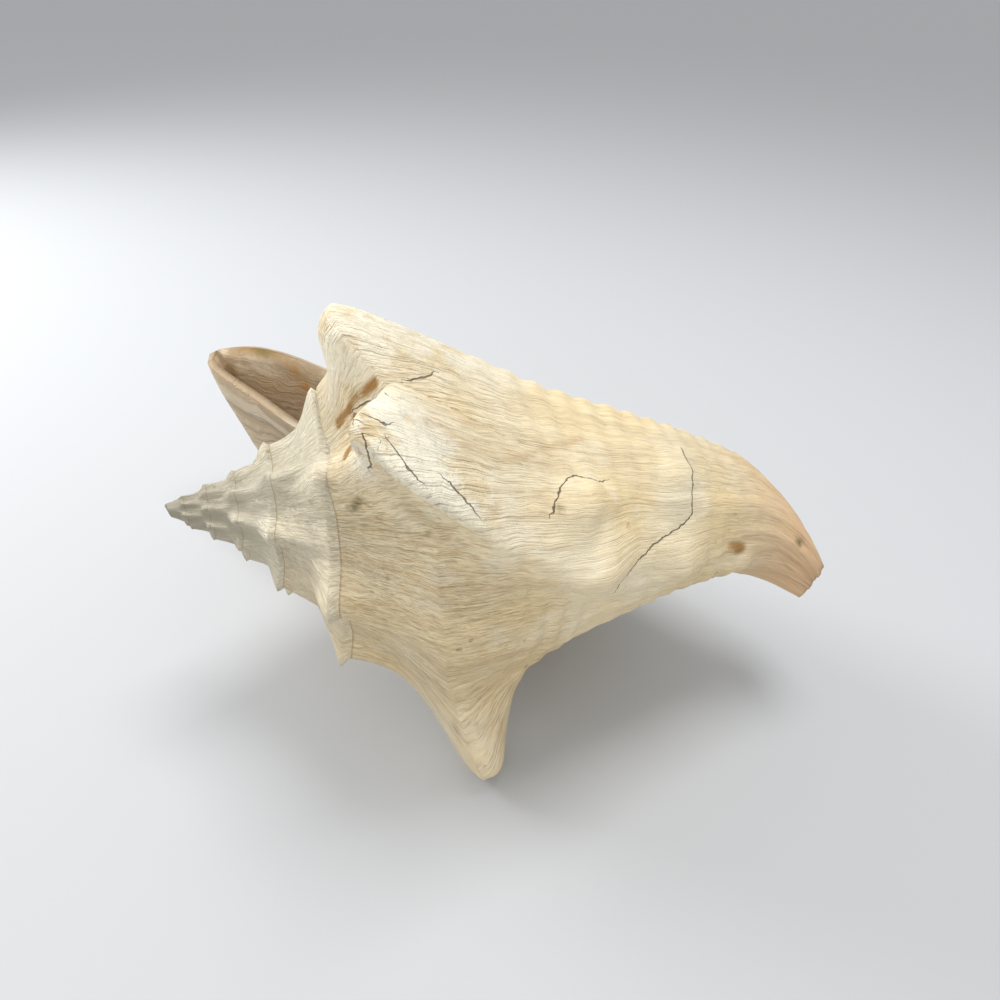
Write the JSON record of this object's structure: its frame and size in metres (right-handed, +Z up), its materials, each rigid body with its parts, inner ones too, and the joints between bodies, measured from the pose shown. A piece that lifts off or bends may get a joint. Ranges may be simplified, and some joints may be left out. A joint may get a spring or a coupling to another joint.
{
  "type": "conch shell",
  "caption": "Large queen conch shell with a knobbed spire, blunt knobs on the shoulder, a flared lip and a short canal, lying on its long knob and its lip.",
  "frame": {"origin": "middle of the shell's box, on the surface that it rests on", "axes": "+Z up; +X along the shell from the spire to the canal, near enough; -Y is the side that faces the viewer"},
  "size_m": [0.242, 0.1708, 0.1499],
  "materials": {
    "shell": "chalky cream shell outside, worn at the knobs and stained brown in its pits, smooth pink to tan inside the mouth"
  },
  "bodies": {
    "root": {"conch_shell": "shell"}
  },
  "joints": []
}
